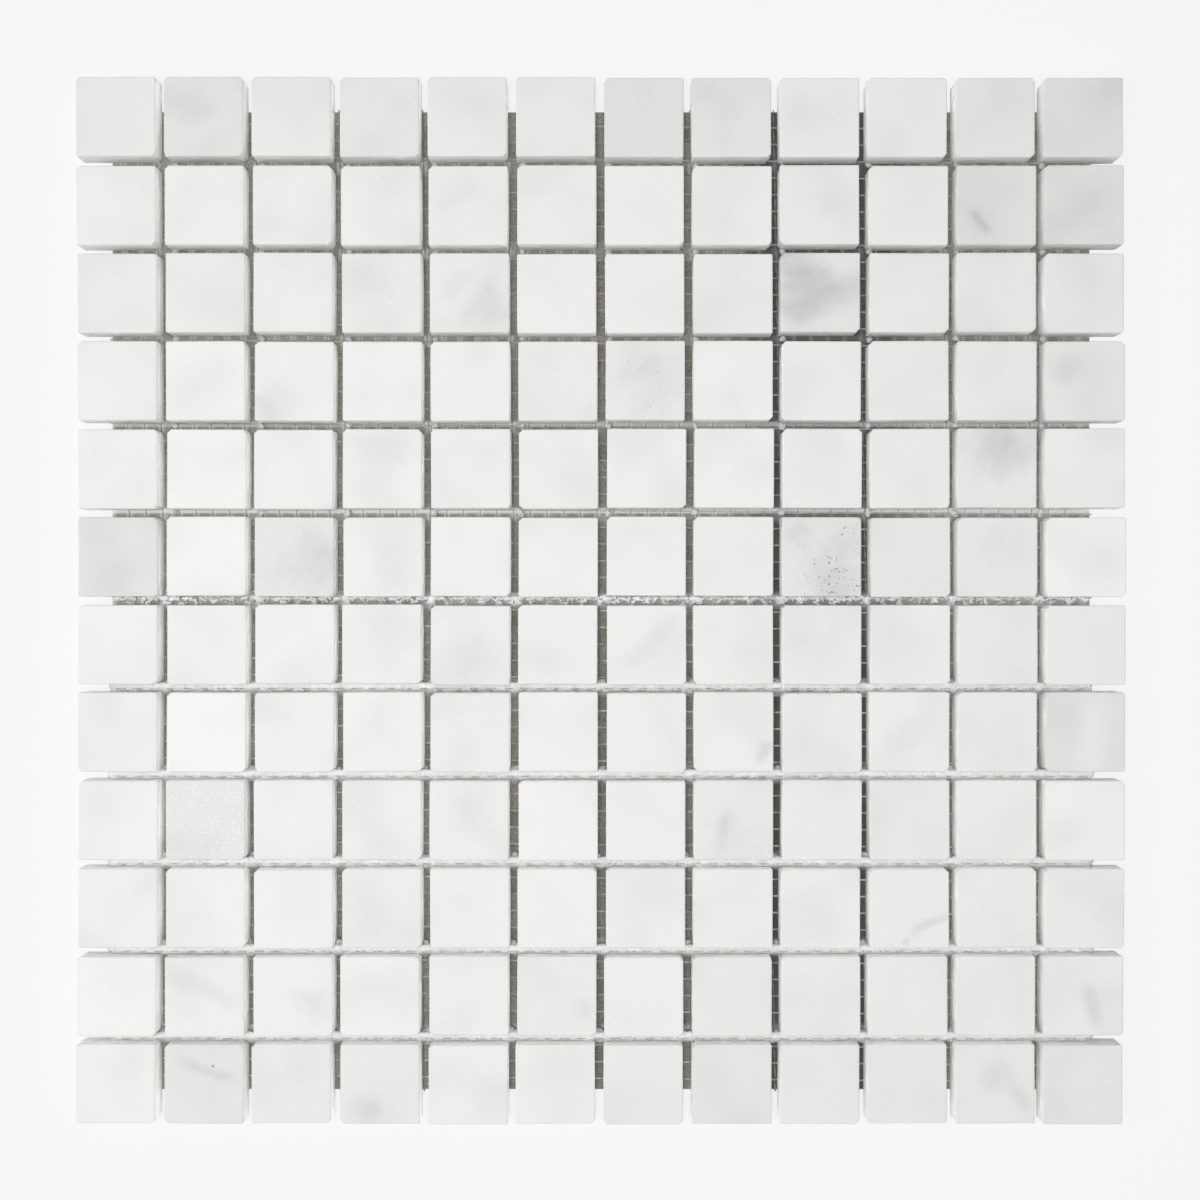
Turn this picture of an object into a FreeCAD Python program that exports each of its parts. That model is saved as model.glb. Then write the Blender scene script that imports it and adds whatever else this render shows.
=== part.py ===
import FreeCAD, Part
import math
import os
import random

# Mosaic sheet of square marble tiles on a fibreglass backing net, lying with its honed face up.
# Millimetres. +X runs along the tile rows, +Y along the columns, +Z up out of the honed faces.
# The origin is the middle of the sheet's outline, on the plane that the net rests on.

# Tiles
tiles_across = 12
tiles_down = 12
tile_size = 22.9
tile_thickness = 9.6
joint_width = 2.5
face_arris = 0.35
corner_arris = 0.3

# How far the hand-laid tiles stand off an even grid
shift_limit = 0.2
turn_limit = 0.25
row_bow = 0.9
laying_seed = 25

# Backing net
net_margin = 7.2
strand_pitch = 4.9
strand_width = 0.6
warp_thickness = 0.2
weft_thickness = 0.2

# How the cloth lies: turns of its warp from Y and of its weft from X, and where one strand of each
# set meets the sheet's middle lines
warp_turn = 1.08
weft_turn = -0.45
warp_shift = -0.63
weft_shift = 1.96

tile_pitch = tile_size + joint_width
sheet_length = tiles_across * tile_pitch - joint_width
sheet_width = tiles_down * tile_pitch - joint_width
net_length = sheet_length - 2 * net_margin
net_width = sheet_width - 2 * net_margin
net_thickness = warp_thickness + weft_thickness
warp_slope = math.tan(math.radians(warp_turn))
weft_slope = math.tan(math.radians(weft_turn))

# The net is kept as three by three panels, which meet halfway between two strands
panel_columns = ("left", "centre", "right")
panel_rows = ("bottom", "middle", "top")


def tile_blank():
    """One sawn tile, its back on z = 0, with the arrises of its face and its corners eased."""
    corner = FreeCAD.Vector(-tile_size / 2, -tile_size / 2, 0)
    block = Part.makeBox(tile_size, tile_size, tile_thickness, corner)
    upright = [edge for edge in block.Edges if edge.BoundBox.ZLength > tile_thickness / 2]
    block = block.makeChamfer(corner_arris, upright)
    face = [edge for edge in block.Edges if edge.BoundBox.ZMin > tile_thickness / 2]
    return block.makeChamfer(face_arris, face)


def bow_of_row(row):
    """Sideways drift of a row, along a half wave from the bottom row to the top one."""
    return row_bow * math.sin(math.pi * (row + 0.5) / tiles_down)


def laid_tile(blank, column, row, luck):
    """A copy of the tile in the grid, on the net, a little off its place as a hand lays it."""
    x = (column - (tiles_across - 1) / 2) * tile_pitch + bow_of_row(row)
    y = (row - (tiles_down - 1) / 2) * tile_pitch
    x += luck.uniform(-shift_limit, shift_limit)
    y += luck.uniform(-shift_limit, shift_limit)
    turn = FreeCAD.Rotation(FreeCAD.Vector(0, 0, 1), luck.uniform(-turn_limit, turn_limit))
    tile = blank.copy()
    tile.Placement = FreeCAD.Placement(FreeCAD.Vector(x, y, net_thickness), turn)
    return tile


def tile_rows():
    """The rows of tiles, numbered from the top of the sheet down, centred on the origin."""
    luck = random.Random(laying_seed)
    blank = tile_blank()
    rows = []
    for row in reversed(range(tiles_down)):
        tiles = [laid_tile(blank, column, row, luck) for column in range(tiles_across)]
        rows.append(Part.makeCompound(tiles))
    middle = Part.makeCompound(rows).BoundBox.Center
    for shape in rows:
        shape.translate(FreeCAD.Vector(-middle.x, -middle.y, 0))
    return {f"tile_row_{number:02d}": shape for number, shape in enumerate(rows, 1)}


def strand_places(span, shift, drift):
    """Where a set of strands meets the net's middle line: even steps, all of them within its cut edges."""
    reach = (span - strand_width) / 2 - drift
    first = math.ceil((-reach - shift) / strand_pitch)
    last = math.floor((reach - shift) / strand_pitch)
    return [shift + index * strand_pitch for index in range(first, last + 1)]


def panel_spans(span, places):
    """Three groups of strands, each with the stretch of the net that its panel takes up."""
    third = round(len(places) / 3)
    groups = (places[:third], places[third:-third], places[-third:])
    first_seam = groups[1][0] - strand_pitch / 2
    last_seam = groups[1][-1] + strand_pitch / 2
    ends = (-span / 2, first_seam, last_seam, span / 2)
    return list(zip(groups, ends[:-1], ends[1:]))


def crossing(warp_place, weft_place):
    """Where a line along the warp crosses a line along the weft."""
    scale = 1 / (1 + warp_slope * weft_slope)
    x = (warp_place - warp_slope * weft_place) * scale
    y = (weft_place + weft_slope * warp_place) * scale
    return x, y


def warp_end(place, end):
    """The end of a line along the warp: at a seam of the net, or at its straight cut edge."""
    if abs(end) < net_width / 2:
        return crossing(place, end)
    return place - warp_slope * end, end


def weft_end(place, end):
    """The end of a line along the weft: at a seam of the net, or at its straight cut edge."""
    if abs(end) < net_length / 2:
        return crossing(end, place)
    return end, place + weft_slope * end


def strand(corners, base, thickness):
    """A flat strand on the outline of its four corners."""
    outline = [FreeCAD.Vector(x, y, base) for x, y in corners]
    face = Part.Face(Part.makePolygon(outline + outline[:1]))
    return face.extrude(FreeCAD.Vector(0, 0, thickness))


def net_panel(warp, weft, x_from, x_to, y_from, y_to):
    """Warp strands up the sheet, with weft strands across on top of them, fused where they cross."""
    strands = []
    for place in warp:
        left, right = place - strand_width / 2, place + strand_width / 2
        ends = ((left, y_from), (right, y_from), (right, y_to), (left, y_to))
        strands.append(strand([warp_end(*end) for end in ends], 0, warp_thickness))
    for place in weft:
        lower, upper = place - strand_width / 2, place + strand_width / 2
        ends = ((lower, x_from), (lower, x_to), (upper, x_to), (upper, x_from))
        strands.append(strand([weft_end(*end) for end in ends], warp_thickness, weft_thickness))
    return strands[0].multiFuse(strands[1:])


def backing_net():
    """The panels of the net, which lies under the tiles and stops short of the sheet's edges."""
    warp_places = strand_places(net_length, warp_shift, abs(warp_slope) * net_width / 2)
    weft_places = strand_places(net_width, weft_shift, abs(weft_slope) * net_length / 2)
    panels = {}
    for row_name, (weft, y_from, y_to) in zip(panel_rows, panel_spans(net_width, weft_places)):
        for column_name, (warp, x_from, x_to) in zip(panel_columns, panel_spans(net_length, warp_places)):
            panel = net_panel(warp, weft, x_from, x_to, y_from, y_to)
            panels[f"net_{row_name}_{column_name}"] = panel
    return panels


os.makedirs("parts", exist_ok=True)
for name, shape in {**tile_rows(), **backing_net()}.items():
    shape.exportStep(f"parts/{name}.step")
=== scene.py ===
import math
import random

import bpy
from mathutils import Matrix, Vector


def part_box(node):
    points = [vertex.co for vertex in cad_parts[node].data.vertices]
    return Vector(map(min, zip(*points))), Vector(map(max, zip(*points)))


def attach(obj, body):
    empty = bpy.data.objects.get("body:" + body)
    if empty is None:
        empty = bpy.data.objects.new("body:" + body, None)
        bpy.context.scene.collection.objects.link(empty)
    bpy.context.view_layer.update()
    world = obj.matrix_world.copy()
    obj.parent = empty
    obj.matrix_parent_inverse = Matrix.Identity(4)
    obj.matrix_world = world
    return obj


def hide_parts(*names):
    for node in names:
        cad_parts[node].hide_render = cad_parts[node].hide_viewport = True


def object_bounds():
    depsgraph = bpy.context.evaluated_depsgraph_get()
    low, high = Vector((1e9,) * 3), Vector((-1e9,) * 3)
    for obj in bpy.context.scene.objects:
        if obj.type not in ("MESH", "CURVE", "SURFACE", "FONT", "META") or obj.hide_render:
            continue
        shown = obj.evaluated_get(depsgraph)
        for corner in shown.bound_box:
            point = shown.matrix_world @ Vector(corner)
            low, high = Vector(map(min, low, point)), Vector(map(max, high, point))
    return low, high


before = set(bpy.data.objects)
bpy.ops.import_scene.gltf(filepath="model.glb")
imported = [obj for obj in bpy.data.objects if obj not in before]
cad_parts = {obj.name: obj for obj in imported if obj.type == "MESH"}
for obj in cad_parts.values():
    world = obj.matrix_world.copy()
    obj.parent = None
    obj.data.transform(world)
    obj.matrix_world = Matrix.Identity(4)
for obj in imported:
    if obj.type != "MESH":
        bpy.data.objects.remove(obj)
cad_low, cad_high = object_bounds()
MM = 0.001


# Backing net
# A cloth of glass yarn, leno woven and set with resin: pairs of warp yarns along Y twist half a turn
# about each straight weft yarn along X. It is cut 7 mm short of the sheet's edges.
class Term:
    """A value in a node tree. Python's operators on it add the tree's Math nodes."""

    def __init__(self, graph, socket):
        self.graph = graph
        self.socket = socket

    def math(self, operation, *others):
        sockets = dict(enumerate((self, *others)))
        return self.graph.add("ShaderNodeMath", {"operation": operation}, sockets)

    def __add__(self, other):
        return self.math("ADD", other)

    def __mul__(self, other):
        return self.math("MULTIPLY", other)

    def __sub__(self, other):
        return self.math("SUBTRACT", other)

    def __rsub__(self, other):
        return (self * -1) + other

    def __truediv__(self, other):
        return self.math("DIVIDE", other)

    __radd__ = __add__
    __rmul__ = __mul__

    def step(self, low, high):
        """A smooth step of the value, from 0 at low to 1 at high."""
        sockets = {0: self, 1: low, 2: high, 3: 0.0, 4: 1.0}
        return self.graph.add("ShaderNodeMapRange", {"interpolation_type": "SMOOTHSTEP"}, sockets)

    def vector(self, operation, *others, out=0):
        sockets = dict(enumerate((self, *others)))
        if operation == "SCALE":
            sockets = {0: self, 3: others[0]}
        return self.graph.add("ShaderNodeVectorMath", {"operation": operation}, sockets, out)

    def axes(self):
        return self.graph.add("ShaderNodeSeparateXYZ", {}, {0: self}, (0, 1, 2))


class Graph:
    """A node tree that is written as calls, each of which adds one node."""

    def __init__(self, tree):
        self.tree = tree

    def add(self, kind, settings, sockets, out=0):
        """Adds a node, its settings first and then its sockets' values or links, and gives its output."""
        node = self.tree.nodes.new(kind)
        for name, value in settings.items():
            setattr(node, name, value)
        for key, value in sockets.items():
            if isinstance(value, Term):
                self.tree.links.new(value.socket, node.inputs[key])
            else:
                node.inputs[key].default_value = value
        if isinstance(out, tuple):
            return [Term(self, node.outputs[key]) for key in out]
        return Term(self, node.outputs[out]) if node.outputs else node

    def join(self, *axes):
        return self.add("ShaderNodeCombineXYZ", {}, dict(enumerate(axes)))

    def together(self, *parts):
        """Several pieces of geometry joined as one."""
        node = self.tree.nodes.new("GeometryNodeJoinGeometry")
        for part in reversed(parts):
            self.tree.links.new(part.socket, node.inputs[0])
        return Term(self, node.outputs[0])

    def noise(self, place, scale, detail, roughness=0.5):
        sockets = {"Vector": place, "Scale": scale, "Detail": detail, "Roughness": roughness}
        return self.add("ShaderNodeTexNoise", {}, sockets)

    def blend(self, share, first, second):
        """A colour between two colours."""
        settings = {"data_type": "RGBA", "clamp_factor": True}
        return self.add("ShaderNodeMix", settings, {0: share, 6: first, 7: second}, 2)


def making_tree(name, **inputs):
    """An empty geometry tree with one named input for each size, and those inputs by name."""
    tree = bpy.data.node_groups.new(name, "GeometryNodeTree")
    tree.interface.new_socket("Geometry", in_out="INPUT", socket_type="NodeSocketGeometry")
    for label, kind in inputs.items():
        tree.interface.new_socket(label, in_out="INPUT", socket_type=f"NodeSocket{kind}")
    tree.interface.new_socket("Geometry", in_out="OUTPUT", socket_type="NodeSocketGeometry")
    graph = Graph(tree)
    ports = graph.add("NodeGroupInput", {}, {}, tuple(range(len(inputs) + 1)))
    return graph, dict(zip(["Geometry", *inputs], ports))


def end_tree(graph, geometry, material=None):
    """The tree's last nodes: plain geometry, in one material unless its parts have theirs."""
    real = graph.add("GeometryNodeRealizeInstances", {}, {0: geometry})
    if material:
        real = graph.add("GeometryNodeSetMaterial", {}, {"Geometry": real, "Material": material})
    graph.add("NodeGroupOutput", {}, {0: real})


def made(name, graph, source, **sizes):
    """The plain mesh that a tree makes of a source mesh, as an object at the origin."""
    maker = bpy.data.objects.new(name, source)
    bpy.context.scene.collection.objects.link(maker)
    modifier = maker.modifiers.new("making", "NODES")
    modifier.node_group = graph.tree
    for item in graph.tree.interface.items_tree:
        if item.name in sizes:
            modifier[item.identifier] = sizes[item.name]
    deps = bpy.context.evaluated_depsgraph_get()
    whole = maker.evaluated_get(deps)
    mesh = bpy.data.meshes.new_from_object(whole, preserve_all_data_layers=True, depsgraph=deps)
    maker.modifiers.remove(modifier)
    maker.data = mesh
    mesh.name = name
    return maker


def bare_material(name):
    """A new material that has no nodes yet, and the graph to fill it."""
    material = bpy.data.materials.new(name)
    material.use_nodes = True
    material.node_tree.nodes.clear()
    return material, Graph(material.node_tree)


TILE_PITCH = 25.4 * MM
STRAND_PITCH = 4.9 * MM
WARP_SLOPE = math.tan(math.radians(1.08))
WEFT_SLOPE = math.tan(math.radians(-0.45))
WARP_SHIFT = -0.63 * MM
WEFT_SHIFT = 1.96 * MM
WARP_NUMBERS = (-28, 28)
WEFT_NUMBERS = (-29, 28)
YARN = (0.26 * MM, 0.11 * MM)
ROVING = (0.48 * MM, 0.2 * MM)
YARN_SWING = 0.135 * MM
YARN_SPREAD = 0.16 * MM
NET_PANELS = sorted(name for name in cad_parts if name.startswith("net_"))
net_boxes = [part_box(name) for name in NET_PANELS]
net_low = Vector(min(low[axis] for low, high in net_boxes) for axis in range(3))
net_high = Vector(max(high[axis] for low, high in net_boxes) for axis in range(3))
net_height = (net_low.z + net_high.z) / 2


def in_cloth(x, y):
    """A place on the sheet, counted in strands across and up the slanted cloth."""
    across = (x + y * WARP_SLOPE - WARP_SHIFT) / STRAND_PITCH
    up = (y - x * WEFT_SLOPE - WEFT_SHIFT) / STRAND_PITCH
    return across, up


def over_joint(y):
    """1 in the joints that run across the sheet, down to 0 under the tiles beside them."""
    return 1 - y.math("PINGPONG", TILE_PITCH / 2).step(1.3 * MM, 2.2 * MM)


def down_sheet(y):
    """0 in the upper part of the sheet and 1 in its lower part, where more glue has squeezed out."""
    return 1 - y.step(-60 * MM, 60 * MM)


def glass_yarn(name, dull, bright):
    """Resin-set glass yarn, mottled between two colours, painted darker towards the top of the sheet as
    painted shade, and white where the glue of a low joint coats it.
    """
    material, graph = bare_material(name)
    place = graph.add("ShaderNodeTexCoord", {}, {}, "Object")
    y = place.axes()[1]
    mottle = graph.noise(place, 420.0, 3.0).step(0.3, 0.7)
    bareness_and_shade = graph.noise(place, 110.0, 1.0).step(0.38, 0.62) * 0.4 + 0.6
    # Painted shade: the yarn is painted darker towards the top of the sheet, over its upper rows of joints.
    bareness_and_shade = bareness_and_shade * (1 - y.step(-30 * MM, 60 * MM) * 0.55)
    yarn = graph.blend(mottle * bareness_and_shade, dull, bright)
    coated = over_joint(y) * down_sheet(y) * 0.9
    filaments = graph.noise(place, 5200.0, 2.0)
    sockets = {"Strength": 0.4, "Distance": 0.03 * MM, "Height": filaments}
    sockets = {
        "Base Color": graph.blend(coated, yarn, (0.9, 0.9, 0.88, 1)), "Roughness": 0.55,
        "Normal": graph.add("ShaderNodeBump", {}, sockets),
    }
    shader = graph.add("ShaderNodeBsdfPrincipled", {}, sockets)
    graph.add("ShaderNodeOutputMaterial", {}, {0: shader})
    return material


def lines(graph, count, segments, first):
    """Lines one strand apart: X is the share along a line, and Y is the line's own place."""
    line = graph.add("GeometryNodeCurvePrimitiveLine", {}, {"Start": (0, 0, 0), "End": (1, 0, 0)})
    line = graph.add("GeometryNodeResampleCurve", {}, {"Curve": line, "Count": segments + 1})
    start = graph.join(0.0, first, 0.0)
    points = graph.add("GeometryNodeMeshLine", {}, {"Count": count, 2: start, 3: (0, STRAND_PITCH, 0)})
    laid = graph.add("GeometryNodeInstanceOnPoints", {}, {"Points": points, "Instance": line})
    return graph.add("GeometryNodeRealizeInstances", {}, {0: laid})


def swept(graph, curves, position, section, sides, material):
    """Yarns along curves that are first bent to their course, in a flattened section of a few sides."""
    bent = graph.add("GeometryNodeSetPosition", {}, {"Geometry": curves, "Position": position})
    profile = graph.add("GeometryNodeCurvePrimitiveCircle", {}, {"Resolution": sides, "Radius": 0.5})
    sockets = {"Geometry": profile, "Scale": (*section, 1.0)}
    outline = graph.add("GeometryNodeTransform", {}, sockets)
    sockets = {"Curve": bent, "Profile Curve": outline, "Fill Caps": True}
    sockets = {"Geometry": graph.add("GeometryNodeCurveToMesh", {}, sockets), "Material": material}
    return graph.add("GeometryNodeSetMaterial", {}, sockets)


def reached(start, end, line, share):
    """How far along its line a point is: each end of a line is at a seam or at the cut edge."""
    start_place, start_lean, _ = start.axes()
    end_place, end_lean, _ = end.axes()
    begin = start_place + start_lean * line
    return begin + (end_place + end_lean * line - begin) * share


def leno_weave(clean, soaked):
    """Straight weft yarns, and pairs of warp yarns that twist about each other from weft to weft."""
    graph, size = making_tree(
        "leno weave", Wefts="Int", First_weft="Float", Warps="Int", First_warp="Float",
        West="Vector", East="Vector", South="Vector", North="Vector", Height="Float",
    )
    share, line, _ = graph.add("GeometryNodeInputPosition", {}, {}).axes()
    x = reached(size["West"], size["East"], line, share)
    place = graph.join(x, line + x * WEFT_SLOPE, size["Height"])
    wefts = lines(graph, size["Wefts"], size["Warps"], size["First_weft"])
    parts = [swept(graph, wefts, place, ROVING, 6, clean)]

    y = reached(size["South"], size["North"], line, share)
    across = y - (line - y * WARP_SLOPE) * WEFT_SLOPE
    turn = (across - size["First_weft"]) * (math.pi / STRAND_PITCH)
    for side in (1, -1):
        sway = turn.math("SINE") * (side * YARN_SPREAD)
        swing = turn.math("COSINE") * (side * YARN_SWING)
        place = graph.join(line - y * WARP_SLOPE + sway, y, size["Height"] + swing)
        warps = lines(graph, size["Warps"], size["Wefts"] * 4, size["First_warp"])
        parts.append(swept(graph, warps, place, YARN, 4, soaked))

    end_tree(graph, graph.together(*parts))
    return graph


def strand_groups(first, last, shift):
    """The three panels' strands, by place on the sheet's middle line, and the seams between panels."""
    places = [shift + index * STRAND_PITCH for index in range(first, last + 1)]
    third = round(len(places) / 3)
    groups = (places[:third], places[third:-third], places[-third:])
    return groups, (None, groups[1][0] - STRAND_PITCH / 2, groups[1][-1] + STRAND_PITCH / 2, None)


def line_end(seam, edge, own_slope, seam_slope):
    """Where the lines that meet a seam end, as a place and its change from line to line."""
    if seam is None:
        return (edge, 0.0, 0.0)
    scale = 1 / (1 - own_slope * seam_slope)
    return (seam * scale, seam_slope * scale, 0.0)


clean_yarn = glass_yarn("glass_yarn", (0.34, 0.34, 0.31, 1), (0.88, 0.88, 0.85, 1))
soaked_yarn = glass_yarn("soaked_glass_yarn", (0.28, 0.28, 0.25, 1), (0.45, 0.44, 0.41, 1))
weave = leno_weave(clean_yarn, soaked_yarn)
weft_groups, weft_seams = strand_groups(*WEFT_NUMBERS, WEFT_SHIFT)
warp_groups, warp_seams = strand_groups(*WARP_NUMBERS, WARP_SHIFT)
for row, row_name in enumerate(("bottom", "middle", "top")):
    for column, column_name in enumerate(("left", "centre", "right")):
        panel = made(
            f"weave_{row_name}_{column_name}", weave, bpy.data.meshes.new("weave"),
            Wefts=len(weft_groups[row]), First_weft=weft_groups[row][0],
            Warps=len(warp_groups[column]), First_warp=warp_groups[column][0], Height=net_height,
            West=line_end(warp_seams[column], net_low.x, WEFT_SLOPE, -WARP_SLOPE),
            East=line_end(warp_seams[column + 1], net_high.x, WEFT_SLOPE, -WARP_SLOPE),
            South=line_end(weft_seams[row], net_low.y, -WARP_SLOPE, WEFT_SLOPE),
            North=line_end(weft_seams[row + 1], net_high.y, -WARP_SLOPE, WEFT_SLOPE),
        )
        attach(panel, "root")
        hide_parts(f"net_{row_name}_{column_name}")


# Cured glue
# White glue holds the tiles to the net. It has soaked through the cloth in the joints as a thin olive skin,
# and has squeezed out along the lower foot of each row as a knobbly white ridge that grows down the sheet.
JOINT = 2.5 * MM
SKIN_HALF_WIDTH = 2.4 * MM
SKIN_THICKNESS = 0.07 * MM
SKIN_HEIGHT = 0.1 * MM
SKIN_SAG = 0.05 * MM
SKIN_STEP = STRAND_PITCH / 4
SKIN_CELLS = 234
RIDGE_STEP = 0.55 * MM
RIDGE_REACH = 142.5 * MM
RIDGE_FOOT = 0.15 * MM
DAB_DOTS = 7
VOXEL = 0.45 * MM
JOINT_COUNT = 11

# How much glue is squeezed out at each joint, from the top of the sheet down
SQUEEZED = (0.05, 0.04, 0.02, 0.12, 0.2, 0.4, 0.75, 1.0, 1.0, 1.0, 0.95)

# Layers of beads in a ridge, from its lower side up the foot of the row above: place across the joint,
# share of the ridge's height, how much smaller they are between the warps, and size
BEAD_LAYERS = (
    (-0.38, 0.55, 0.4, 0.75),
    (-0.15, 0.8, 0.1, 0.7),
    (0.06, 0.92, 0.0, 0.65),
    (0.24, 1.0, 0.0, 0.7),
    (0.42, 1.0, 0.0, 0.7),
)


def beside_warp(across):
    """How far a place is from the nearest warp, as a share of the strands' pitch."""
    return ((across + 0.5).math("FRACT") - 0.5).math("ABSOLUTE")


def off_joint_line(y):
    """How far a place is above the middle line of the nearest joint across the sheet, or below it."""
    return ((y / TILE_PITCH + 0.5).math("FRACT") - 0.5) * TILE_PITCH


def skin_colour(graph, place, mottle, speckle):
    """Olive, a little different in each cell of the net, stained, and white where glue has run over it."""
    x, y, _ = place.axes()
    across, up = in_cloth(x, y)
    cell = graph.join(across, up, 0.5).vector("FLOOR")
    luck = graph.add("ShaderNodeTexWhiteNoise", {"noise_dimensions": "3D"}, {"Vector": cell}, "Color")
    paler, redder, _ = luck.axes()
    skin = graph.blend(paler, (0.24, 0.235, 0.20, 1), (0.36, 0.35, 0.32, 1))
    skin = graph.blend(redder.step(0.6, 1.0) * 0.6, skin, (0.36, 0.31, 0.29, 1))
    skin = graph.blend(mottle.step(0.35, 0.75) * 0.55, skin, (0.10, 0.095, 0.08, 1))
    skin = graph.blend(speckle.step(0.5, 0.75) * 0.55, skin, (0.08, 0.08, 0.07, 1))
    skin = graph.blend((1 - speckle.step(0.25, 0.45)) * 0.5, skin, (0.60, 0.60, 0.57, 1))

    soaked = (1 - (beside_warp(across) + mottle * 0.1).step(0.12, 0.32)) * over_joint(y)
    skin = graph.blend(soaked * (down_sheet(y) * 0.45 + 0.35), skin, (0.85, 0.85, 0.82, 1))
    # Painted light and shade: the skin is painted a little lighter on the left of the sheet, and much darker
    # in a band right of the middle.
    shaded_band = x.step(36 * MM, 48 * MM) * (1 - x.step(82 * MM, 98 * MM))
    skin = skin.vector("SCALE", 1.15 - x.step(-60 * MM, 20 * MM) * 0.15 - shaded_band * 0.7)

    ragged = mottle * MM
    off_line = off_joint_line(y)
    smeared = 1 - (off_line.math("ABSOLUTE") + ragged).step(1.5 * MM, 3.8 * MM)
    smeared = smeared * down_sheet(y) * 0.75
    foot = (off_line + ragged).step(0.4 * MM, 1.1 * MM) * over_joint(y)
    foot = foot * (1 - y.step(20 * MM, 85 * MM)) * 0.9
    return graph.blend(smeared.math("MAXIMUM", foot), skin, (0.92, 0.92, 0.90, 1))


def bead_colour(graph, place, mottle, speckle):
    """Chalk white, with short grey dashes along each joint between the warps."""
    x, y, _ = place.axes()
    across, _ = in_cloth(x, y)
    white = graph.blend(speckle.step(0.42, 0.66), (0.89, 0.89, 0.88, 1), (0.76, 0.76, 0.74, 1))
    dash = 1 - (off_joint_line(y) + 0.2 * MM).math("ABSOLUTE").step(0.08 * MM, 0.32 * MM)
    dash = dash * beside_warp(across).step(0.18, 0.26)
    return graph.blend(dash * mottle.step(0.35, 0.55), white, (0.42, 0.42, 0.40, 1))


def cured_glue():
    """Glue: a thin olive skin down on the net, and chalk white with small glints where it stands up."""
    material, graph = bare_material("cured_glue")
    place = graph.add("ShaderNodeTexCoord", {}, {}, "Object")
    mottle = graph.noise(place, 1300.0, 3.0, 0.7)
    speckle = graph.noise(place, 2600.0, 2.0, 0.6)
    raised = place.axes()[2].step(0.3 * MM, 0.8 * MM)
    skin = skin_colour(graph, place, mottle, speckle)
    bead = bead_colour(graph, place, mottle, speckle)
    sockets = {"Vector": place, "Scale": 1400.0}
    distance, luck = graph.add("ShaderNodeTexVoronoi", {}, sockets, (0, 1))
    glint = (1 - distance.step(0.1, 0.3)) * luck.axes()[0].math("GREATER_THAN", 0.8)
    sockets = {"Strength": 1.0, "Distance": 0.35 * MM, "Height": speckle}
    sockets = {
        "Base Color": graph.blend(raised, skin, bead), "Roughness": mottle * 0.3 + 0.3 - glint * 0.25,
        "Normal": graph.add("ShaderNodeBump", {}, sockets),
    }
    film = graph.add("ShaderNodeBsdfPrincipled", {}, sockets)
    sockets.update({
        "Subsurface Weight": 1.0, "Subsurface Radius": (1.0, 1.0, 1.0), "Subsurface Scale": 3.0 * MM,
    })
    lump = graph.add("ShaderNodeBsdfPrincipled", {"subsurface_method": "BURLEY"}, sockets)
    both = graph.add("ShaderNodeMixShader", {}, {0: raised, 1: film, 2: lump})
    graph.add("ShaderNodeOutputMaterial", {}, {0: both})
    return material


def skin_lattice(material):
    """A thin closed skin in strips along the joints, hanging a little between the strands."""
    graph, size = making_tree("skin lattice", Reach="Float", Cells="Int", Height="Float", Sag="Float")
    count = size["Cells"] + 1
    sockets = {"Size X": size["Reach"], "Size Y": size["Reach"], "Vertices X": count, "Vertices Y": count}
    grid = graph.add("GeometryNodeMeshGrid", {}, sockets, "Mesh")
    place = graph.add("GeometryNodeInputPosition", {}, {})
    x, y, _ = place.axes()
    clear_of_column = x.math("PINGPONG", TILE_PITCH / 2).math("GREATER_THAN", SKIN_HALF_WIDTH)
    clear_of_row = y.math("PINGPONG", TILE_PITCH / 2).math("GREATER_THAN", SKIN_HALF_WIDTH)
    sockets = {"Geometry": grid, "Selection": clear_of_column * clear_of_row}
    strips = graph.add("GeometryNodeDeleteGeometry", {"domain": "FACE"}, sockets)
    sockets = {"Mesh": strips, "Offset Scale": SKIN_THICKNESS, "Individual": False}
    upper = graph.add("GeometryNodeExtrudeMesh", {"mode": "FACES"}, sockets)
    lower = graph.add("GeometryNodeFlipFaces", {}, {"Mesh": strips})
    both = graph.together(upper, lower)
    both = graph.add("GeometryNodeMergeByDistance", {}, {"Geometry": both, "Distance": 0.01 * MM})
    across, up = in_cloth(x, y)
    hang_x = (across * math.pi).math("SINE")
    hang_y = (up * math.pi).math("SINE")
    uneven = (graph.noise(place, 500.0, 1.0) - 0.5) * (0.05 * MM)
    level = size["Height"] + uneven - (hang_x * hang_y).math("ABSOLUTE") * size["Sag"]
    sockets = {"Geometry": both, "Offset": graph.join(0.0, 0.0, level)}
    end_tree(graph, graph.add("GeometryNodeSetPosition", {}, sockets), material)
    return graph


def in_mm(*parts):
    """A place or an offset that is written in millimetres."""
    return tuple(part * MM for part in parts)


def scattered(graph, size, low, high, seed):
    """A random offset for each dot of a ridge, between two corners of a box."""
    sockets = {0: low, 1: high, "Seed": size["Seed"] + seed}
    return graph.add("FunctionNodeRandomValue", {"data_type": "FLOAT_VECTOR"}, sockets)


def dots(graph, count, start, step, spread, radius):
    """A row of dots of glue, each moved by its own offset."""
    line = graph.add("GeometryNodeMeshLine", {}, {"Count": count, 2: start, 3: (step, 0.0, 0.0)})
    points = graph.add("GeometryNodeMeshToPoints", {}, {"Mesh": line, "Radius": radius})
    return graph.add("GeometryNodeSetPosition", {}, {"Geometry": points, "Offset": spread})


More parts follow.
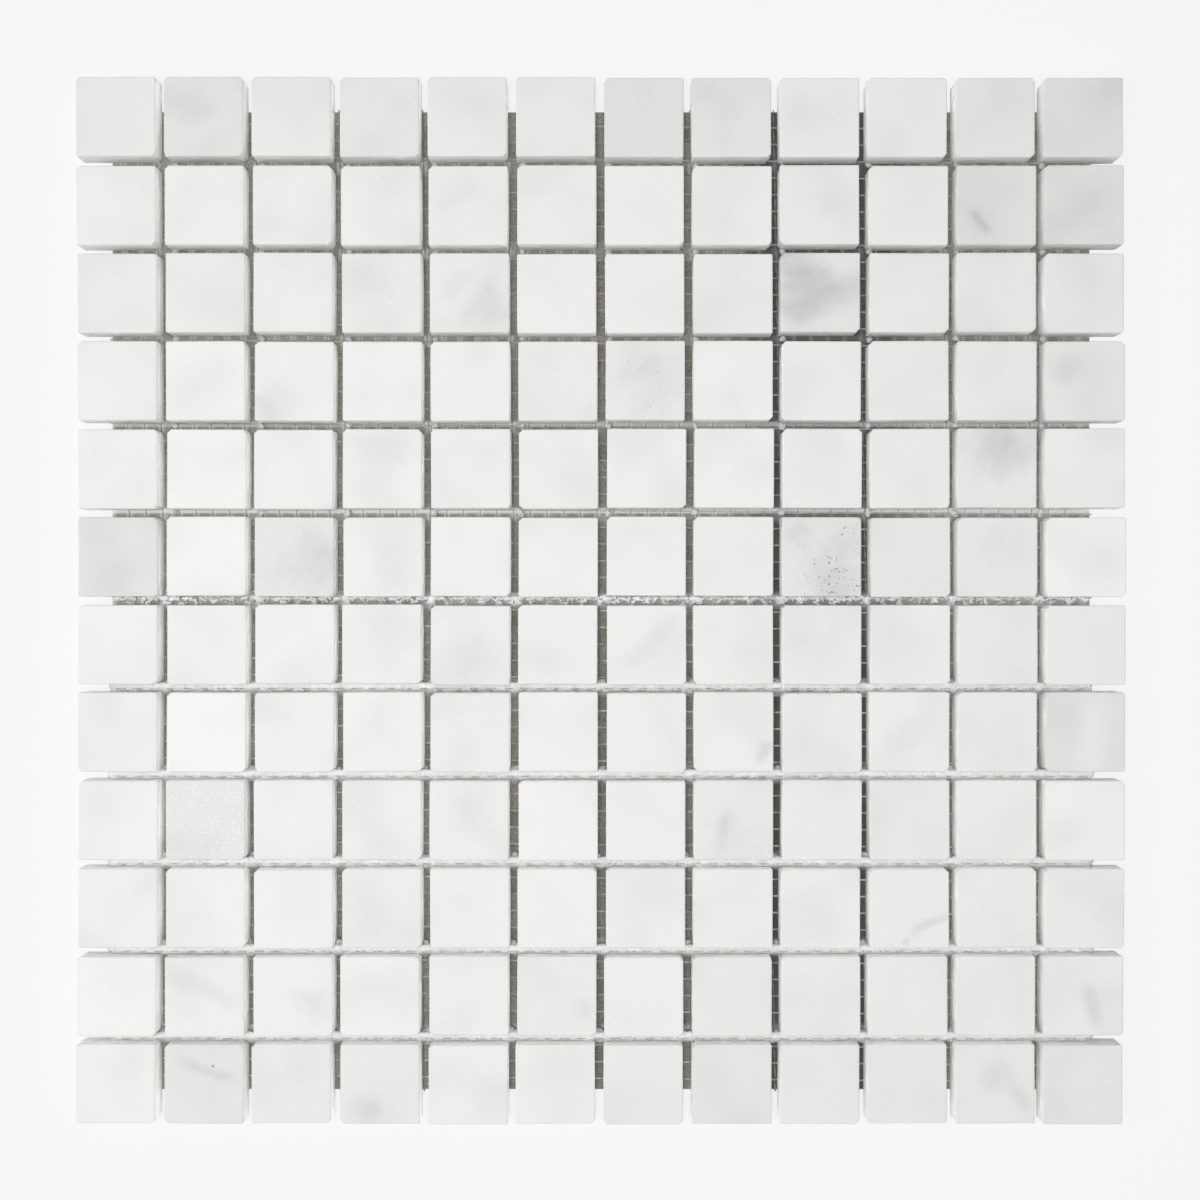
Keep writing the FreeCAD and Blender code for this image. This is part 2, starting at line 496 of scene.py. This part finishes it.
def beads(graph, size):
    """The small beads of each layer of a ridge, lumpy and larger at the warps."""
    place = graph.add("GeometryNodeInputPosition", {}, {})
    lumpy = graph.noise(place, 1500.0, 1.0)
    across, _ = in_cloth(place.axes()[0], size["Line"])
    at_warp = (across * (2 * math.pi)).math("COSINE") * 0.5 + 0.5
    count = int(2 * RIDGE_REACH / RIDGE_STEP) + 1
    low, high = in_mm(-0.3, -0.2, -0.3), in_mm(0.3, 0.2, 0.3)
    parts = []
    for layer, (inward, share, gaps, bulk) in enumerate(BEAD_LAYERS):
        start = graph.join(-RIDGE_REACH, size["Line"] + JOINT * inward, size["Rise"] * share)
        spread = scattered(graph, size, low, high, 1 + layer)
        radius = (lumpy * 0.5 + at_warp * gaps + bulk - gaps) * size["Amount"]
        parts.append(dots(graph, count, start, RIDGE_STEP, spread, radius))
    return parts


def tongues(graph, size):
    """Dots that have crept out along each warp, low down on the net."""
    warps = WARP_NUMBERS[1] - WARP_NUMBERS[0] + 1
    first_warp = WARP_SHIFT + WARP_NUMBERS[0] * STRAND_PITCH - size["Line"] * WARP_SLOPE
    low, high = in_mm(-0.5, -0.2, -0.1), in_mm(0.5, 0.2, 0.3)
    parts = []
    for inward, share, seed in ((-0.3, 0.15, 18), (-0.2, 0.35, 16)):
        start = graph.join(first_warp, size["Line"] + JOINT * inward, size["Rise"] * share)
        spread = scattered(graph, size, low, high, seed)
        parts.append(dots(graph, warps, start, STRAND_PITCH, spread, size["Tongue"]))
    return parts


def dabs(graph, size):
    """A dab of several dots where each joint down the sheet crosses the ridge."""
    first = -(JOINT_COUNT - 1) / 2 * TILE_PITCH
    middle = size["Rise"] * 0.5 + 0.5 * MM
    start = graph.join(size["Dab_shift"] + first, size["Line"] + JOINT * 0.15, middle)
    parts = []
    for index in range(DAB_DOTS):
        spread = scattered(graph, size, (-0.7, -1.0, -0.3), (0.7, 1.1, 0.3), 10 + index)
        spread = spread.vector("SCALE", size["Dab_spread"])
        parts.append(dots(graph, JOINT_COUNT, start, TILE_PITCH, spread, size["Dab"]))
    return parts


def run_together(graph, points):
    """One smooth lump round all the dots but the smallest, flattened where its foot is down in the net."""
    radius = graph.add("GeometryNodeInputRadius", {}, {})
    sockets = {"Geometry": points, "Selection": radius.math("LESS_THAN", VOXEL)}
    points = graph.add("GeometryNodeDeleteGeometry", {"domain": "POINT"}, sockets)
    sockets = {"Points": points, "Voxel Size": VOXEL, "Radius": radius}
    volume = graph.add("GeometryNodePointsToVolume", {"resolution_mode": "VOXEL_SIZE"}, sockets)
    lumps = graph.add("GeometryNodeVolumeToMesh", {}, {"Volume": volume, "Threshold": 0.1})
    x, y, height = graph.add("GeometryNodeInputPosition", {}, {}).axes()
    flat = graph.join(x, y, height.math("MAXIMUM", RIDGE_FOOT))
    lumps = graph.add("GeometryNodeSetPosition", {}, {"Geometry": lumps, "Position": flat})
    return graph.add("GeometryNodeSetShadeSmooth", {}, {"Geometry": lumps})


def glue_ridge(material):
    """Lumps of glue along one joint, run together, with a larger dab at each crossing."""
    graph, size = making_tree(
        "glue ridge", Line="Float", Amount="Float", Rise="Float", Tongue="Float",
        Dab="Float", Dab_spread="Float", Dab_shift="Float", Seed="Int",
    )
    parts = beads(graph, size) + tongues(graph, size) + dabs(graph, size)
    end_tree(graph, run_together(graph, graph.together(*parts)), material)
    return graph


glue_finish = cured_glue()
skin = made(
    "glue_skin", skin_lattice(glue_finish), bpy.data.meshes.new("glue_skin"),
    Reach=SKIN_CELLS * SKIN_STEP, Cells=SKIN_CELLS, Height=SKIN_HEIGHT, Sag=SKIN_SAG,
)
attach(skin, "root")
ridge_tree = glue_ridge(glue_finish)
for joint, growth in enumerate(SQUEEZED, 1):
    ridge = made(
        f"glue_ridge_{joint:02d}", ridge_tree, bpy.data.meshes.new("glue_ridge"),
        Line=((JOINT_COUNT + 1) / 2 - joint) * TILE_PITCH, Seed=joint * 20,
        Amount=(0.25 + 0.6 * growth) * MM, Rise=(0.7 + 5.6 * growth) * MM,
        Tongue=(0.35 + 0.45 * growth) * MM, Dab=(0.7 + 0.2 * growth) * MM,
        Dab_spread=(0.5 + 1.2 * growth) * MM, Dab_shift=2.4 * MM * (1 - growth),
    )
    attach(ridge, "root")


# Tiles
# Blocks of white marble sawn to size and honed on the face, with the arrises of the face eased. Each is
# glued to the net by hand, so that it stands a little off the grid, and each is a different bit of stone.
TILES_ACROSS = 12
TILES_DOWN = 12
TILE_SIDE = 22.9 * MM
ARRIS = 0.35 * MM
ARRIS_STEPS = 3
CORNER = 0.45 * MM
CORNER_STEPS = 3
EDGE_STEP = 0.55 * MM
CHIP_DEPTH = 0.3 * MM
CORNER_CUT = 0.6 * MM
STONE_WHITE = 0.86
TILE_ROWS = sorted(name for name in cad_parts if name.startswith("tile_row_"))
tile_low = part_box(TILE_ROWS[0])[0].z
tile_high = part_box(TILE_ROWS[0])[1].z


def tiles_of(name):
    """The middle and the turn of each tile in a row, read from the row's own solids."""
    low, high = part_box(name)
    pitch = (high.x - low.x + JOINT) / TILES_ACROSS
    groups = [[] for _ in range(TILES_ACROSS)]
    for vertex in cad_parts[name].data.vertices:
        groups[int((vertex.co.x - low.x + JOINT / 2) / pitch)].append(vertex.co)
    tiles = []
    for group in groups:
        foot = [point for point in group if point.z < tile_low + ARRIS]
        middle = (Vector(map(min, *group)) + Vector(map(max, *group))) / 2
        east = sum((point for point in foot if point.x > middle.x), Vector()) / len(foot) * 2
        west = sum((point for point in foot if point.x < middle.x), Vector()) / len(foot) * 2
        turn = math.atan2(east.y - west.y, east.x - west.x)
        tiles.append((middle, turn))
    return tiles


def rounded_square(half):
    """Points round a square with its corners eased, the way out from each, and how near a corner it is."""
    side = half - CORNER
    steps = round(2 * side / EDGE_STEP)
    points = []
    for quarter in range(4):
        turn = math.radians(90 * quarter)
        out = Vector((math.cos(turn), math.sin(turn)))
        along = Vector((-out.y, out.x))
        for step in range(steps + 1):
            near = 0.75 if step in (0, steps) else 0.0
            points.append((out * half + along * (2 * side * step / steps - side), out, near))
        for step in range(1, CORNER_STEPS):
            lean = math.radians(90 * step / CORNER_STEPS)
            slant = out * math.cos(lean) + along * math.sin(lean)
            points.append(((out + along) * side + slant * CORNER, slant, 1.0))
    return points


def side_rings(height):
    """Inset, height and wear of each ring of points, from the tile's foot up to the rim of its face."""
    rings = [(0.0, 0.0, 0.0)]
    for step in range(ARRIS_STEPS + 1):
        turn = math.radians(90 * step / ARRIS_STEPS)
        inset = ARRIS * (1 - math.cos(turn))
        rings.append((inset, height - ARRIS * (1 - math.sin(turn)), math.sin(2 * turn)))
    return rings


def tile_faces(rings, count):
    """Walls between rings of points, then triangles round the middles of the foot and the face."""
    faces = []
    for ring in range(rings - 1):
        low, high = ring * count, (ring + 1) * count
        for index in range(count):
            after = (index + 1) % count
            faces.append((low + index, low + after, high + after, high + index))
    top = (rings - 1) * count
    foot_middle = rings * count
    for index in range(count):
        after = (index + 1) % count
        faces.append((after, index, foot_middle))
        faces.append((top + index, top + after, foot_middle + 1))
    return faces


def tile_blank():
    """A tile on its foot, whose points know how worn they are (which also sets a painted rim highlight), how
    far down a side and how near a corner they are.
    """
    height = tile_high - tile_low
    rings = side_rings(height)
    outline = rounded_square(TILE_SIDE / 2)
    points = [(*(point - out * inset), level) for inset, level, _ in rings for point, out, _ in outline]
    points += [(0.0, 0.0, 0.0), (0.0, 0.0, height)]
    faces = tile_faces(len(rings), len(outline))
    mesh = bpy.data.meshes.new("tile_blank")
    mesh.from_pydata(points, [], faces)
    depths = [min(1.0, (height - level) / ARRIS) for _, level, _ in rings]
    measures = {
        "worn": [wear for _, _, wear in rings for _ in outline] + [0.0, 0.0],
        "sawn": [depth for depth in depths for _ in outline] + [1.0, 0.0],
        "corner": [near for _ in rings for _, _, near in outline] + [0.0, 0.0],
    }
    for label, values in measures.items():
        mesh.attributes.new(label, "FLOAT", "POINT").data.foreach_set("value", values)
    walls = (len(rings) - 1) * len(outline)
    mesh.polygons.foreach_set("use_smooth", [index < walls for index in range(len(faces))])
    return mesh


# Tiles that stand out, by row and column from the top left. Places are in mm from the tile's middle.
# tone: how much lighter than its neighbours. tint: how warm. specks and sparkle: how full of pits or glints.
# cloud: place, size and how grey. band: place, turn in degrees, half its length and width, how grey.
MARKED = {
    (1, 2): dict(tone=-0.065, cloud=(-4, 5, 10, 0.05)),
    (1, 4): dict(tone=-0.035, cloud=(5, 4, 9, 0.04)),
    (1, 7): dict(tone=-0.075, tint=1.5),
    (1, 8): dict(tone=-0.045, band=(-4, 5, -40, 9, 4, 0.06)),
    (1, 12): dict(tone=-0.045, cloud=(8, 9, 7, 0.06)),
    (2, 5): dict(tone=-0.01, band=(-3, 3, 40, 8, 4, 0.05)),
    (2, 9): dict(tone=-0.02, cloud=(6, 2, 10, 0.03)),
    (2, 11): dict(tone=-0.06, tint=1.2, band=(-4.5, -5, -48, 4.5, 1.5, 0.14), cloud=(-6, -4, 6, 0.05)),
    (2, 12): dict(tone=-0.07, tint=1.0, cloud=(-7, 8, 8, 0.03), band=(-2, -1, 35, 14, 5, 0.07)),
    (3, 1): dict(tone=-0.035),
    (3, 2): dict(tone=-0.035),
    (3, 4): dict(tone=-0.03, cloud=(-3, 3, 9, 0.05)),
    (3, 5): dict(tone=-0.01, cloud=(6, -5, 11, 0.11), band=(-4, 2, 60, 6, 3, 0.05)),
    (3, 9): dict(tone=-0.06, tint=1.5, cloud=(-7, 5, 13, 0.20), band=(1, -2, 22, 14, 4, 0.13)),
    (4, 3): dict(cloud=(-9, -7, 8, 0.10)),
    (4, 6): dict(tone=-0.035),
    (4, 7): dict(tone=-0.04, cloud=(3, 1, 13, 0.08), band=(1, 4, 40, 7, 2, 0.05), specks=0.5),
    (4, 12): dict(tone=-0.03, cloud=(-5, 3, 6, 0.07)),
    (5, 11): dict(tone=-0.03, cloud=(0, 6, 14, 0.13)),
    (6, 1): dict(tone=-0.10, cloud=(-2, -6, 10, 0.05)),
    (6, 2): dict(tone=0.03),
    (6, 3): dict(tone=-0.06, cloud=(6, -2, 13, 0.09), sparkle=0.3),
    (6, 9): dict(tone=-0.05, cloud=(4, -5, 14, 0.15), band=(-7, 7, 35, 4, 2, 0.07), specks=1.0),
    (6, 10): dict(tone=-0.03),
    (6, 11): dict(tone=-0.03, cloud=(0, 5, 10, 0.05)),
    (6, 12): dict(tone=0.06),
    (7, 5): dict(tone=-0.02, cloud=(2, -4, 9, 0.05)),
    (7, 7): dict(band=(1, 0, 42, 12, 3, 0.045)),
    (7, 9): dict(cloud=(-3, 0, 11, 0.04)),
    (8, 2): dict(tone=0.03),
    (8, 8): dict(cloud=(8, -4, 5, 0.05), band=(8.5, -6, 70, 3.5, 1.5, 0.11)),
    (8, 10): dict(cloud=(-1, -2, 8, 0.05)),
    (8, 12): dict(tone=-0.075, cloud=(-6, 3, 7, 0.03), band=(2, -1, 80, 13, 4.5, -0.06), sparkle=0.15),
    (9, 2): dict(tone=-0.065, sparkle=1.0),
    (9, 5): dict(tone=-0.03, cloud=(0, 4, 10, 0.06)),
    (9, 8): dict(tone=-0.02, cloud=(-3, -1, 7, 0.09), band=(-3, -3, 75, 6, 1.5, 0.05)),
    (9, 10): dict(tone=-0.015, cloud=(-4, -4, 7, -0.03)),
    (9, 12): dict(tone=0.04),
    (10, 4): dict(cloud=(-5, 2, 9, 0.04)),
    (10, 10): dict(cloud=(-1, -9.5, 1.5, 0.12), band=(5.5, -4.5, 28, 6.5, 1.5, 0.12)),
    (11, 2): dict(tone=-0.01, band=(-1, 3, -25, 12, 2.5, 0.07)),
    (11, 3): dict(tone=-0.01, cloud=(6, -2, 7, 0.08)),
    (11, 6): dict(tone=-0.02, cloud=(8, -3, 4.5, 0.07)),
    (11, 8): dict(tone=-0.03),
    (11, 12): dict(cloud=(6, 0, 6, 0.05), band=(2.5, -2.5, -75, 6.5, 1.8, 0.12)),
    (12, 2): dict(tone=-0.05, cloud=(2.6, 5.2, 0.5, 0.5), band=(1, 4, -20, 10, 1.5, 0.09)),
    (12, 4): dict(cloud=(-4, -7, 6, 0.11)),
    (12, 8): dict(tone=-0.035),
    (12, 11): dict(cloud=(0, 2, 6, 0.08), band=(7, -4, -60, 5, 2, 0.08)),
}
stone_luck = random.Random(12)


def stone_of(row, column):
    """What one tile's stone looks like: the marks chosen above, or else plain stone with faint clouds.

    The top and the bottom row are painted slightly greyer, as painted shade along those edges of the sheet.
    """
    marks = MARKED.get((row, column), {})
    tone = marks.get("tone", 0.0) + stone_luck.gauss(0.0, 0.009)
    # Painted shade: the top and bottom rows are painted a little greyer.
    tone += -0.015 if row in (1, TILES_DOWN) else 0.004
    tint = marks.get("tint", 0.0) + stone_luck.gauss(0.0, 0.5)
    plain_cloud = (stone_luck.uniform(-9, 9), stone_luck.uniform(-9, 9), stone_luck.uniform(6, 11))
    plain_band = (stone_luck.uniform(-8, 8), stone_luck.uniform(-8, 8), stone_luck.uniform(-80, 80), 10, 4)
    x, y, size, grey = marks.get("cloud", (*plain_cloud, stone_luck.uniform(0.0, 0.03)))
    across, up, turn, length, width, dark = marks.get("band", (*plain_band, stone_luck.uniform(0.0, 0.02)))
    return {
        "stone_tone": (tone, tint, grey),
        "stone_cloud": (x * MM, y * MM, size * MM),
        "stone_band": (across * MM, up * MM, math.radians(turn)),
        "stone_band_form": (length * MM, width * MM, dark),
        "stone_grit": (marks.get("specks", 0.0), marks.get("sparkle", 0.0), 0.0),
        "stone_drift": tuple(stone_luck.uniform(-50, 50) for _ in range(3)),
    }


def of_tile(graph, name, out="Vector"):
    """What a point of a tile holds under a name."""
    return graph.add("ShaderNodeAttribute", {"attribute_name": name}, {}, out)


def cloud_and_band(graph, local, cloud_grey):
    """How much a tile's own cloud and its band of vein darken the stone, both of them ragged."""
    x, y, height = local.axes()
    cloud_x, cloud_y, cloud_size = of_tile(graph, "stone_cloud").axes()
    band_x, band_y, turn = of_tile(graph, "stone_band").axes()
    length, width, band_grey = of_tile(graph, "stone_band_form").axes()
    aside, beyond = x - band_x, y - band_y
    along = aside * turn.math("COSINE") + beyond * turn.math("SINE")
    across = aside * turn.math("SINE") - beyond * turn.math("COSINE")
    layers = graph.join(along * 0.65, across, height * 0.6).vector("ADD", of_tile(graph, "stone_drift"))
    swirl = graph.noise(layers, 110.0, 3.0, 0.6) - 0.5
    fine = graph.noise(layers, 330.0, 2.0, 0.6)

    away = graph.join(x - cloud_x, y - cloud_y, 0.0).vector("LENGTH", out=1)
    cloud = 1 - (away / cloud_size + swirl * 1.8).step(0.0, 1.15)
    cloud = cloud * (fine * 0.9 + 0.55) * cloud_grey
    reach = (along / length).math("ABSOLUTE") + swirl
    off = ((across + swirl * (5 * MM)) / width).math("ABSOLUTE") + (fine - 0.5) * 0.8
    band = (1 - reach.step(0.4, 1.3)) * (1 - off.step(0.0, 1.8)) * band_grey
    return cloud, band


def pits_and_glints(graph, within, cloud, specks, sparkle):
    """Dark pits in clusters where a cloud is, and painted highlights: small glints of crystals, and a few
    larger glints.
    """
    flat = {"voronoi_dimensions": "2D"}
    distance, luck = graph.add("ShaderNodeTexVoronoi", flat, {"Vector": within, "Scale": 1400.0}, (0, 1))
    pit_luck, glint_luck, pit_size = luck.axes()
    clustered = graph.noise(within, 300.0, 1.0).step(0.5, 0.6)
    pits = (1 - (distance / (pit_size * 0.45 + 0.1)).step(0.6, 1.0)) * pit_luck.math("GREATER_THAN", 0.8)
    pits = pits * clustered * cloud.step(0.015, 0.06) * specks
    often = glint_luck + sparkle * 0.2
    glints = (1 - distance.step(0.16, 0.28)) * often.math("GREATER_THAN", 0.96)
    glints = glints * (sparkle * 0.75 + 0.25)
    distance, luck = graph.add("ShaderNodeTexVoronoi", flat, {"Vector": within, "Scale": 500.0}, (0, 1))
    large_glints = (1 - distance.step(0.06, 0.17)) * luck.axes()[0].math("GREATER_THAN", 0.975)
    return pits, glints, large_glints


def stone_colour(graph, local, within, sawn, grain):
    """White with the tile's own tone, tint and marks, with painted light that makes its sawn sides and arris
    lighter, and its painted glints.
    """
    tone, tint, cloud_grey = of_tile(graph, "stone_tone").axes()
    specks, sparkle, _ = of_tile(graph, "stone_grit").axes()
    cloud, band = cloud_and_band(graph, local, cloud_grey)
    pits, glints, large_glints = pits_and_glints(graph, within, cloud, specks, sparkle)
    face = 1 - sawn
    pits, glints, large_glints = pits * face, glints * face, large_glints * face
    haze = graph.noise(within, 45.0, 1.0).step(0.42, 0.75) * 0.05
    grey = tone - cloud - band - haze + (grain - 0.5) * (sparkle * 0.08 + 0.02)
    # Painted light: the sawn sides are painted lighter so that the walls deep in the joints look lit, and the
    # eased arris a little lighter, partly as whiter bruised stone and partly as a painted rim highlight.
    grey = grey + of_tile(graph, "worn", "Fac") * 0.03 + sawn * 0.11
    # Glints and large glints are painted highlights: white dots put into the colour.
    light = (grey + STONE_WHITE) * (1 - pits * 0.7) + glints * 0.16 + large_glints * 0.12
    light = light.math("MINIMUM", 0.98)
    warm = light * (tint * 0.003 + 1.0)
    cool = light * (0.987 - tint * 0.005) - cloud * 0.04
    colour = graph.add("ShaderNodeCombineColor", {}, {0: warm, 1: light, 2: cool})
    return colour, glints


def honed_marble():
    """White marble with a honed face, and duller sawn sides that glow with the light from within."""
    material, graph = bare_material("honed_marble")
    place = graph.add("ShaderNodeTexCoord", {}, {}, "Object")
    local = place.vector("SUBTRACT", of_tile(graph, "stone_middle"))
    within = local.vector("ADD", of_tile(graph, "stone_drift"))
    sawn = of_tile(graph, "sawn", "Fac")
    grain = graph.noise(within, 1500.0, 0.0)
    colour, glints = stone_colour(graph, local, within, sawn, grain)
    saw_marks = graph.noise(local.vector("MULTIPLY", (1.0, 1.0, 9.0)), 700.0, 0.0)
    sockets = {"Strength": 0.35, "Distance": 0.08 * MM, "Height": grain * 0.15 + saw_marks * sawn}
    bump = graph.add("ShaderNodeBump", {}, sockets)
    sockets = {"Base Color": colour, "Roughness": grain * 0.12 + 0.56 - glints * 0.25, "Normal": bump}
    honed = graph.add("ShaderNodeBsdfPrincipled", {}, sockets)
    sockets = {
        "Base Color": colour, "Roughness": 0.68, "Normal": bump, "Subsurface Weight": 1.0,
        "Subsurface Radius": (1.0, 1.0, 0.95), "Subsurface Scale": 30.0 * MM,
    }
    lit_within = graph.add("ShaderNodeBsdfPrincipled", {"subsurface_method": "BURLEY"}, sockets)
    height = local.axes()[2]
    glow = sawn.step(0.4, 1.0) * (1 - height.step(6.0 * MM, 9.5 * MM) * 0.5)
    both = graph.add("ShaderNodeMixShader", {}, {0: glow, 1: honed, 2: lit_within})
    graph.add("ShaderNodeOutputMaterial", {}, {0: both})
    return material


def tile_places(name, number):
    """A point where each tile of a row stands, with its turn and what its stone looks like."""
    tiles = tiles_of(name)
    spots = bpy.data.meshes.new(f"{name}_places")
    spots.from_pydata([(middle.x, middle.y, tile_low) for middle, _ in tiles], [], [])
    turns = spots.attributes.new("turn", "FLOAT", "POINT")
    turns.data.foreach_set("value", [turn for _, turn in tiles])
    stones = [stone_of(number, column) for column in range(1, TILES_ACROSS + 1)]
    for label in stones[0]:
        values = spots.attributes.new(label, "FLOAT_VECTOR", "POINT")
        values.data.foreach_set("vector", [part for stone in stones for part in stone[label]])
    return spots


def stored(graph, name, kind="FLOAT"):
    """What each point of the geometry holds under a name."""
    return graph.add("GeometryNodeInputNamedAttribute", {"data_type": kind}, {"Name": name})


def laid_tiles(graph, size):
    """A copy of the blank at each place, turned as laid, which keeps that place as stone_middle."""
    place = graph.add("GeometryNodeInputPosition", {}, {})
    attribute = {"data_type": "FLOAT_VECTOR", "domain": "POINT"}
    sockets = {"Geometry": size["Geometry"], "Name": "stone_middle", "Value": place}
    points = graph.add("GeometryNodeStoreNamedAttribute", attribute, sockets)
    points = graph.add("GeometryNodeMeshToPoints", {}, {"Mesh": points})
    shape = graph.add("GeometryNodeObjectInfo", {}, {"Object": size["Blank"]}, "Geometry")
    rotation = graph.join(0.0, 0.0, stored(graph, "turn"))
    sockets = {"Points": points, "Instance": shape, "Rotation": rotation}
    laid = graph.add("GeometryNodeInstanceOnPoints", {}, sockets)
    return graph.add("GeometryNodeRealizeInstances", {}, {0: laid})


def worn_away(graph, size):
    """How far wear moves each point: nibbles and bites along the arrises, and some corners cut back.

    Upper left and lower right corners are cut more often than the other two.
    """
    level = (1.0, 1.0, 0.0)
    place = graph.add("GeometryNodeInputPosition", {}, {})
    seeded = place.vector("ADD", graph.join(size["Seed"], 0.0, 0.0))
    to_middle = stored(graph, "stone_middle", "FLOAT_VECTOR").vector("SUBTRACT", place)
    bite = graph.noise(seeded, 380.0, 2.0).step(0.60, 0.78)
    nibble = graph.noise(seeded, 1300.0, 1.0)
    inward = to_middle.vector("NORMALIZE").vector("MULTIPLY", level).vector("ADD", (0.0, 0.0, -0.6))
    chip = inward.vector("SCALE", (bite + nibble * 0.12) * stored(graph, "worn") * size["Chip"])

    to_middle = to_middle.vector("MULTIPLY", level)
    across, along, _ = to_middle.axes()
    luck = graph.noise(seeded.vector("MULTIPLY", level), 150.0, 0.0)
    luck = luck + (across * along).math("LESS_THAN", 0.0) * 0.12
    cut = luck.step(0.60, 0.67) * stored(graph, "corner") * size["Cut"]
    return chip.vector("ADD", to_middle.vector("NORMALIZE").vector("SCALE", cut))


def laid_row(material):
    """A row of tiles at their places, with their arrises and corners worn."""
    graph, size = making_tree("laid row", Blank="Object", Chip="Float", Cut="Float", Seed="Float")
    sockets = {"Geometry": laid_tiles(graph, size), "Offset": worn_away(graph, size)}
    end_tree(graph, graph.add("GeometryNodeSetPosition", {}, sockets), material)
    return graph


blank = bpy.data.objects.new("tile_blank", tile_blank())
bpy.context.scene.collection.objects.link(blank)
laying = laid_row(honed_marble())
for number, name in enumerate(TILE_ROWS, 1):
    row = made(
        f"marble_{name}", laying, tile_places(name, number),
        Blank=blank, Chip=CHIP_DEPTH, Cut=CORNER_CUT, Seed=float(number),
    )
    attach(row, "root")
    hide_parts(name)
bpy.data.objects.remove(blank)


# Floor, lamps and camera
# A plain pale floor under the sheet, a soft lamp above it and a weaker one to its left, and a camera
# straight above the middle of the sheet, as near as the sides of the outer tiles show.
FLOOR_REACH = 30.0
CAMERA_HEIGHT = 600 * MM
SEEN_WIDTH = 346.5 * MM
CAMERA_AIM = (-0.3 * MM, 0.2 * MM)
PALE = (0.93, 0.93, 0.93, 1)


def pale_floor():
    """A pale floor, seen at its own colour with part of the object's shadow on it, and as the sky far off."""
    material, graph = bare_material("pale_floor")
    place = graph.add("ShaderNodeTexCoord", {}, {}, "Object")
    far = place.vector("LENGTH", out=1).step(0.25, 0.9)
    seen = graph.add("ShaderNodeLightPath", {}, {}, "Is Camera Ray") * (far * 0.2 + 0.8)
    matte = graph.add("ShaderNodeBsdfDiffuse", {}, {"Color": (0.9, 0.9, 0.9, 1)})
    glow = graph.add("ShaderNodeEmission", {}, {"Color": graph.blend(far, (0.95, 0.95, 0.95, 1), PALE)})
    mixed = graph.add("ShaderNodeMixShader", {}, {0: seen, 1: matte, 2: glow})
    graph.add("ShaderNodeOutputMaterial", {}, {0: mixed})
    return material


def studio_sky():
    """A dim white sky that lights the sheet evenly, seen and mirrored as the pale floor."""
    world = bpy.data.worlds.new("studio")
    world.use_nodes = True
    world.node_tree.nodes.clear()
    sky = Graph(world.node_tree)
    rays = ("Is Camera Ray", "Is Glossy Ray", "Is Transmission Ray")
    camera, glossy, through = sky.add("ShaderNodeLightPath", {}, {}, rays)
    soft = sky.add("ShaderNodeBackground", {}, {"Color": (1, 1, 1, 1), "Strength": 0.24})
    pale = sky.add("ShaderNodeBackground", {}, {"Color": PALE, "Strength": 1.0})
    both = sky.add("ShaderNodeMixShader", {}, {0: camera + glossy + through, 1: soft, 2: pale})
    sky.add("ShaderNodeOutputWorld", {}, {0: both})
    return world


floor_mesh = bpy.data.meshes.new("floor")
corners = [(x * FLOOR_REACH, y * FLOOR_REACH, 0) for x, y in ((-1, -1), (1, -1), (1, 1), (-1, 1))]
floor_mesh.from_pydata(corners, [], [(0, 1, 2, 3)])
floor_mesh.materials.append(pale_floor())
floor = bpy.data.objects.new("floor", floor_mesh)
bpy.context.scene.collection.objects.link(floor)
bpy.context.scene.world = studio_sky()


def soft_lamp(name, place, size, power):
    """A square area lamp that points at the sheet's middle. Place and size are in metres, power in watts."""
    light = bpy.data.lights.new(name, "AREA")
    light.size = size
    light.energy = power
    lamp = bpy.data.objects.new(name, light)
    lamp.location = place
    lamp.rotation_euler = (-Vector(place)).to_track_quat("-Z", "Y").to_euler()
    bpy.context.scene.collection.objects.link(lamp)


soft_lamp("softbox above", (-0.05, -0.025, 1.1), 0.26, 6.5)
soft_lamp("softbox to the left", (-0.75, -0.12, 0.9), 0.6, 3.3)

camera_data = bpy.data.cameras.new("camera")
camera_data.lens = camera_data.sensor_width * CAMERA_HEIGHT / SEEN_WIDTH
camera = bpy.data.objects.new("camera", camera_data)
camera.location = (*CAMERA_AIM, cad_high.z + CAMERA_HEIGHT)
bpy.context.scene.collection.objects.link(camera)
bpy.context.scene.camera = camera
bpy.context.scene.view_settings.view_transform = "Standard"
